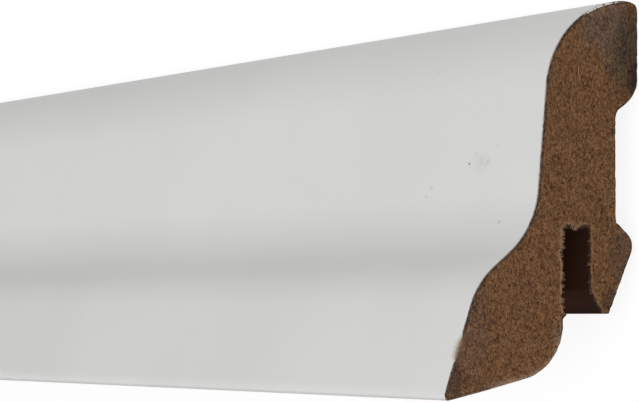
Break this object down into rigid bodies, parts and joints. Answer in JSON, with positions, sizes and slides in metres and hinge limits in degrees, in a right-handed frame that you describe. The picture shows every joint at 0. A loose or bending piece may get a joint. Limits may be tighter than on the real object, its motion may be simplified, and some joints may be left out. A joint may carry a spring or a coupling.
{
  "type": "skirting board length",
  "caption": "Straight length of white foil-wrapped fibreboard skirting with a rounded top, an ogee foot and a clip groove along its back.",
  "frame": {"origin": "middle of the board's footprint, at the level of the wall face it lies on", "axes": "+X along the board, +Y from its toe to its top edge, +Z from the wall face out to the room"},
  "size_m": [2.4, 0.04, 0.022],
  "materials": {
    "bare_fibreboard": "bare brown fibreboard, sawn and fuzzy at the ends, milled smooth along the back",
    "white_foil": "smooth white wrapping foil with a low sheen"
  },
  "bodies": {
    "root": {"fibreboard_core": "bare_fibreboard", "white_foil": "white_foil"}
  },
  "joints": []
}
